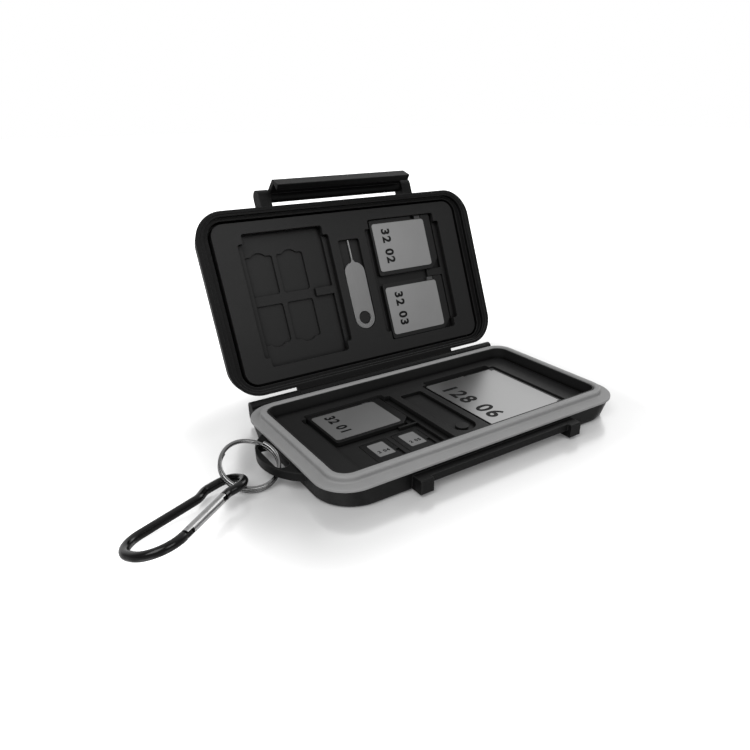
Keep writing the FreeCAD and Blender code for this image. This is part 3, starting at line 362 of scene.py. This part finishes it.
# Card labels: metallised film, printed and stuck in a shallow field. It mirrors softly, so a label
# looks light or dark by what stands before it.
label_film, tree, surface, spot = new_material("metallised_label_film", {"Metallic": 0.7})
speck_size = 0.25 * MM  # the film's own texture is finer, drawn coarser so that it shows
cloud_size = 12 * MM
speck = add_node(tree, "ShaderNodeTexNoise", None,
                 {"Vector": spot, "Scale": 1 / speck_size, "Detail": 2.0})
cloud = add_node(tree, "ShaderNodeTexNoise", None,
                 {"Vector": spot, "Scale": 1 / cloud_size, "Detail": 2.0})
tone = add_node(tree, "ShaderNodeMix", {"data_type": "RGBA"},
                {SHARE: cloud.outputs["Fac"], FIRST: linear("#8c8c8c"), SECOND: linear("#959595")})
sheen = add_node(tree, "ShaderNodeMapRange", None,
                 {"Value": speck.outputs["Fac"], **NOISE_RANGE, "To Min": 0.36, "To Max": 0.46})
tree.links.new(tone.outputs[MIXED], surface.inputs["Base Color"])
tree.links.new(sheen.outputs["Result"], surface.inputs["Roughness"])
give_finish(label_film, ["base_sd_label", "lid_upper_sd_label", "lid_lower_sd_label"])


# Labels of the micro cards: plain grey film with a silk finish, printed and stuck in a shallow
# field. Unlike the metallised labels it keeps one tone from every side.
grey_film, tree, surface, spot = new_material("grey_label_film", {"Specular IOR Level": 0.3})
speck_size = 0.25 * MM  # the film's own texture is finer, drawn coarser so that it shows
cloud_size = 5 * MM
speck = add_node(tree, "ShaderNodeTexNoise", None,
                 {"Vector": spot, "Scale": 1 / speck_size, "Detail": 2.0})
cloud = add_node(tree, "ShaderNodeTexNoise", None,
                 {"Vector": spot, "Scale": 1 / cloud_size, "Detail": 2.0})
tone = add_node(tree, "ShaderNodeMix", {"data_type": "RGBA"},
                {SHARE: cloud.outputs["Fac"], FIRST: linear("#737373"), SECOND: linear("#7c7c7c")})
sheen = add_node(tree, "ShaderNodeMapRange", None,
                 {"Value": speck.outputs["Fac"], **NOISE_RANGE, "To Min": 0.4, "To Max": 0.5})
tree.links.new(tone.outputs[MIXED], surface.inputs["Base Color"])
tree.links.new(sheen.outputs["Result"], surface.inputs["Roughness"])
give_finish(grey_film, ["left_micro_label", "right_micro_label"])


# Covers of the largest card: stainless sheet, stamped with stepped corners and glued to both
# faces of its frame. The rolled sheet has a fine grain along the card.
cover_steel, tree, surface, spot = new_material("rolled_stainless_sheet", {"Metallic": 1.0})
line_width = 0.25 * MM  # real rolling lines are finer, drawn coarser so that they show
line_stretch = (1.0, 0.03, 1.0)
along = add_node(tree, "ShaderNodeMapping", None, {"Vector": spot, "Scale": line_stretch})
lines = add_node(tree, "ShaderNodeTexNoise", None,
                 {"Vector": along.outputs["Vector"], "Scale": 1 / line_width, "Detail": 3.0})
tone = add_node(tree, "ShaderNodeMix", {"data_type": "RGBA"},
                {SHARE: lines.outputs["Fac"], FIRST: linear("#a8a8a8"), SECOND: linear("#acacac")})
sheen = add_node(tree, "ShaderNodeMapRange", None,
                 {"Value": lines.outputs["Fac"], **NOISE_RANGE, "To Min": 0.3, "To Max": 0.34})
tree.links.new(tone.outputs[MIXED], surface.inputs["Base Color"])
tree.links.new(sheen.outputs["Result"], surface.inputs["Roughness"])
give_finish(cover_steel, ["cf_top_plate", "cf_bottom_plate"])


# Printed numbers: black screen ink on each label, a plain count and the card's own number.
# Each is a flat text, thickened to the height of the ink film, lying on its label or cover.
ink, tree, surface, spot = new_material("black_screen_ink", {"Specular IOR Level": 0.12, "Roughness": 0.5})
mesh_spacing = 0.3 * MM  # a printing screen is finer, drawn coarser so that it shows
mesh_marks = add_node(tree, "ShaderNodeTexNoise", None,
                      {"Vector": spot, "Scale": 1 / mesh_spacing, "Detail": 2.0})
tone = add_node(tree, "ShaderNodeMix", {"data_type": "RGBA"},
                {SHARE: mesh_marks.outputs["Fac"], FIRST: linear("#070707"), SECOND: linear("#0e0e0e")})
tree.links.new(tone.outputs[MIXED], surface.inputs["Base Color"])
ink_height = 0.02 * MM
letter_spacing = 1.2
upright = Quaternion((0, 0, 1), 0)
sideways = Quaternion((0, 0, 1), -math.pi / 2)
flat = Quaternion((1, 0, 0), 0)
tilted = Quaternion((1, 0, 0), math.radians(68))
full_size_print = {"height": 5.6 * MM, "boldness": 0.04, "turn": sideways,
                   "along": -7.6 * MM, "across": 0.5 * MM, "sheet": 0.1 * MM}
micro_print = {"height": 2.2 * MM, "boldness": 0.04, "turn": upright,
               "along": 0.1 * MM, "across": -1.7 * MM, "sheet": 0.1 * MM}
cover_print = {"height": 9.8 * MM, "boldness": 0.03, "turn": sideways,
               "along": -11.3 * MM, "across": 0.0, "sheet": 0.3 * MM}
prints = [
    ("base_sd", "base_sd_label", "base_sd_card", "32 01", flat, full_size_print),
    ("lid_upper_sd", "lid_upper_sd_label", "lid_upper_sd_card", "32 02", tilted, full_size_print),
    ("lid_lower_sd", "lid_lower_sd_label", "lid_lower_sd_card", "32 03", tilted, full_size_print),
    ("left_micro", "left_micro_label", "left_micro_card", "2 04", flat, micro_print),
    ("right_micro", "right_micro_label", "right_micro_card", "2 05", flat, micro_print),
    ("cf", "cf_top_plate", "cf_card", "128 06", flat, cover_print),
]
for name, label, body, number, tilt, style in prints:
    low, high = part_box(label)
    rise = style["sheet"] / 2 + ink_height / 2
    bpy.ops.object.select_all(action="DESELECT")
    bpy.ops.object.text_add()
    text = bpy.context.object
    text.name = name + "_number"
    text.data.body = number
    text.data.size = style["height"]
    text.data.offset = style["boldness"] * style["height"]
    text.data.space_character = letter_spacing
    text.data.extrude = ink_height / 2
    text.data.align_x = "CENTER"
    text.data.align_y = "CENTER"
    bpy.ops.object.convert(target="MESH")
    text = bpy.context.object
    text.rotation_mode = "QUATERNION"
    text.rotation_quaternion = tilt @ style["turn"]
    text.location = (low + high) / 2 + tilt @ Vector((style["along"], style["across"], rise))
    bpy.ops.object.transform_apply(location=True, rotation=True, scale=True)
    text.data.materials.clear()
    text.data.materials.append(ink)
    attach(text, body)


# Ejector tool: a blade blanked from stainless sheet, with a pin end for card trays and a hole that
# fits over a peg. It is linished along its length.
tool_steel, tree, surface, spot = new_material("linished_stainless", {"Metallic": 1.0})
line_width = 0.2 * MM  # real belt marks are finer, drawn coarser so that they show
line_stretch = (1.0, 0.04, 0.04)
edge_radius = 0.15 * MM
along = add_node(tree, "ShaderNodeMapping", None, {"Vector": spot, "Scale": line_stretch})
lines = add_node(tree, "ShaderNodeTexNoise", None,
                 {"Vector": along.outputs["Vector"], "Scale": 1 / line_width, "Detail": 3.0})
round_edge = add_node(tree, "ShaderNodeBevel", {"samples": 6}, {"Radius": edge_radius})
tone = add_node(tree, "ShaderNodeMix", {"data_type": "RGBA"},
                {SHARE: lines.outputs["Fac"], FIRST: linear("#7a7a7a"), SECOND: linear("#888888")})
sheen = add_node(tree, "ShaderNodeMapRange", None,
                 {"Value": lines.outputs["Fac"], **NOISE_RANGE, "To Min": 0.34, "To Max": 0.46})
tree.links.new(tone.outputs[MIXED], surface.inputs["Base Color"])
tree.links.new(sheen.outputs["Result"], surface.inputs["Roughness"])
tree.links.new(round_edge.outputs["Normal"], surface.inputs["Normal"])
give_finish(tool_steel, ["ejector_tool"])


# Studio floor: a wide white gloss board that the case stands on. It keeps a soft mirror of the
# front and the contact shadow, and goes over to full white away from the case.
floor_size = 6.0
case_half_size = (64 * MM, 36 * MM, 0)
shadow_reach = 10 * MM
white_reach = 60 * MM
least_glow = 0.08
bpy.ops.object.select_all(action="DESELECT")
bpy.ops.mesh.primitive_plane_add(size=floor_size, location=(0, 0, 0))
floor = bpy.context.object
floor.name = "studio_floor"
board, tree, surface, spot = new_material(
    "white_gloss_board", {"Base Color": linear("#e2e2e2"), "Roughness": 0.5, "Coat Weight": 1.0,
                          "Coat Roughness": 0.22, "Coat IOR": 4.0})
rays = add_node(tree, "ShaderNodeLightPath")
quarter = add_node(tree, "ShaderNodeVectorMath", {"operation": "ABSOLUTE"}, {0: spot})
beside = add_node(tree, "ShaderNodeVectorMath", {"operation": "SUBTRACT"},
                  {0: quarter.outputs["Vector"], 1: case_half_size})
outside = add_node(tree, "ShaderNodeVectorMath", {"operation": "MAXIMUM"},
                   {0: beside.outputs["Vector"], 1: (0, 0, 0)})
reach = add_node(tree, "ShaderNodeVectorMath", {"operation": "LENGTH"}, {0: outside.outputs["Vector"]})
white = add_node(tree, "ShaderNodeMapRange", {"interpolation_type": "SMOOTHSTEP"},
                 {"Value": reach.outputs["Value"], "From Min": shadow_reach, "From Max": white_reach,
                  "To Min": least_glow, "To Max": 1.0})
seen_white = add_node(tree, "ShaderNodeMath", {"operation": "MULTIPLY"},
                      {0: rays.outputs["Is Camera Ray"], 1: white.outputs["Result"]})
glow = add_node(tree, "ShaderNodeEmission", None,
                {"Color": (1, 1, 1, 1), "Strength": seen_white.outputs["Value"]})
shown = add_node(tree, "ShaderNodeAddShader", None,
                 {0: surface.outputs["BSDF"], 1: glow.outputs["Emission"]})
tree.links.new(shown.outputs["Shader"], tree.nodes["Material Output"].inputs["Surface"])
floor.data.materials.append(board)


# Surroundings: a studio with a white backdrop behind the case and a dim room before it.
# The camera sees full white on every side, a mirror sees it only behind the case, and the rest
# of the light is dim.
backdrop_side = (0.5, 0.75, 0.43)
room_strength = 0.3
world = bpy.data.worlds.new("white_room")
bpy.context.scene.world = world
world.use_nodes = True
tree = world.node_tree
rays = add_node(tree, "ShaderNodeLightPath")
heading = add_node(tree, "ShaderNodeTexCoord").outputs["Generated"]
behind = add_node(tree, "ShaderNodeVectorMath", {"operation": "DOT_PRODUCT"},
                  {0: heading, 1: backdrop_side})
backdrop = add_node(tree, "ShaderNodeMapRange", {"interpolation_type": "SMOOTHSTEP"},
                    {"Value": behind.outputs["Value"], "From Min": 0.2, "From Max": 0.7,
                     "To Min": room_strength, "To Max": 1.0})
mirrored = add_node(tree, "ShaderNodeMix", {"data_type": "FLOAT"},
                    {"Factor": rays.outputs["Is Glossy Ray"], "A": room_strength,
                     "B": backdrop.outputs["Result"]})
strength = add_node(tree, "ShaderNodeMath", {"operation": "MAXIMUM"},
                    {0: rays.outputs["Is Camera Ray"], 1: mirrored.outputs["Result"]})
tree.links.new(strength.outputs["Value"], tree.nodes["Background"].inputs["Strength"])
tree.nodes["Background"].inputs["Color"].default_value = (1, 1, 1, 1)


# Soft boxes: square area lamps, a large one above and to the left, a smaller one in front, and a
# low one on the right. Places and sizes are in metres, powers in watts.
aim_at = Vector((-0.01, 0.01, 0.02))
for name, place, size, power in (("left_soft_box", (-0.45, -0.25, 0.65), 0.5, 4.0),
                                 ("front_soft_box", (0.15, -0.7, 0.6), 0.4, 2.0),
                                 ("right_soft_box", (0.6, 0.1, 0.4), 0.3, 1.0)):
    lamp = bpy.data.lights.new(name, "AREA")
    lamp.shape = "SQUARE"
    lamp.size = size
    lamp.energy = power
    box = bpy.data.objects.new(name, lamp)
    bpy.context.scene.collection.objects.link(box)
    box.location = place
    box.rotation_euler = (aim_at - Vector(place)).to_track_quat("-Z", "Y").to_euler()


# Camera: a slightly wide lens, low and to the left of the front, rolled by half a degree.
# Its place, lens and shift were solved from the cards in the photograph.
look_at = Vector((-0.01738, 0.00031, 0.01033))
azimuth = math.radians(-33.65)
elevation = math.radians(25.53)
roll = math.radians(-0.53)
distance = 0.23153
lens = bpy.data.cameras.new("studio_camera")
lens.lens = 30.36
lens.sensor_width = 36.0
lens.shift_x = -0.0304
lens.shift_y = 0.0447
lens.clip_start = 0.01
lens.clip_end = 20.0
camera = bpy.data.objects.new("studio_camera", lens)
bpy.context.scene.collection.objects.link(camera)
back = Vector((math.sin(azimuth) * math.cos(elevation),
               -math.cos(azimuth) * math.cos(elevation),
               math.sin(elevation)))
camera.location = look_at + back * distance
level = (-back).to_track_quat("-Z", "Y")
camera.rotation_euler = (level @ Quaternion((0, 0, 1), roll)).to_euler()
bpy.context.scene.camera = camera
bpy.context.scene.view_settings.view_transform = "Standard"
